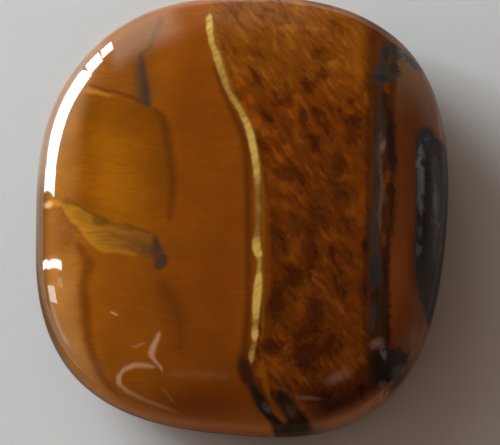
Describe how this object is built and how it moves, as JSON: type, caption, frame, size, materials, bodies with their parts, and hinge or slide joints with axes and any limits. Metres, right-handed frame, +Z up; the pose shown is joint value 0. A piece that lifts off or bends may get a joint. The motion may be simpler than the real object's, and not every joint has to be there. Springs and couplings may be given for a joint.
{
  "type": "tumbled tiger's eye stone",
  "caption": "Polished, cushion-shaped pebble of banded golden-brown tiger's eye quartz with a gently domed face, a rounded rim and a flat on its underside to rest on.",
  "frame": {"origin": "middle of the bounding box's base, on the surface that the stone lies on", "axes": "+Z up out of the domed face, Y along the stone's long way and its bands, X across the bands, along the silky fibres"},
  "size_m": [0.038, 0.0416, 0.0101],
  "materials": {
    "polished_quartz": "high polish over silky golden-brown bands"
  },
  "bodies": {
    "root": {"tigers_eye_stone": "polished_quartz"}
  },
  "joints": []
}
